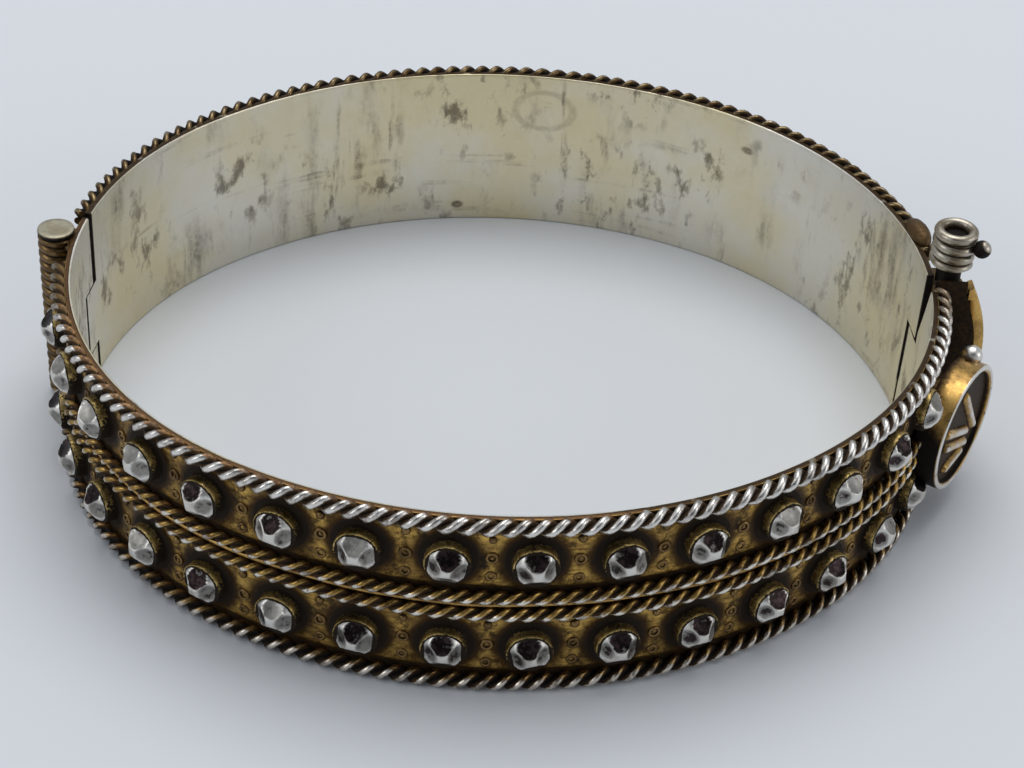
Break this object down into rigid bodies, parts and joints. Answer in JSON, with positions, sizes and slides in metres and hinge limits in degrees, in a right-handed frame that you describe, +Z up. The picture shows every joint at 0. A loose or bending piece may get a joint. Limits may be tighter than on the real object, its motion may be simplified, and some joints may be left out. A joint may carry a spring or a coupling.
{
  "type": "hinged bangle",
  "caption": "Oval hinged bangle with twisted rope borders, domed studs, a wound hinge barrel, a lift-out clasp pin and a round rosette.",
  "frame": {"origin": "middle of the bangle's outline seen from above, on the flat edge that it lies on", "axes": "+X from the hinge towards the clasp, along the oval's long axis; -Y towards the front half; +Z up from the edge that the bangle lies on"},
  "size_m": [0.0642, 0.0566, 0.0167],
  "materials": {
    "gilt_silver": "worn gilding over silver, tarnished dark in the recesses",
    "worn_silver": "worn silver with a trace of gilding"
  },
  "bodies": {
    "front_half": {"front_half": "gilt_silver", "hinge_pin": "worn_silver"},
    "back_half": {"back_half": "gilt_silver"},
    "clasp_pin": {"clasp_pin": "worn_silver"}
  },
  "joints": [
    {"name": "hinge", "type": "hinge", "parent": "front_half", "child": "back_half", "pos_m": [-0.03081, 0.00535, 0.00665], "axis": [0, 0, 1], "range_deg": [0, 90]},
    {"name": "clasp_slide", "type": "slide", "parent": "front_half", "child": "clasp_pin", "axis": [0, 0, 1], "range_m": [0, 0.0135]}
  ]
}
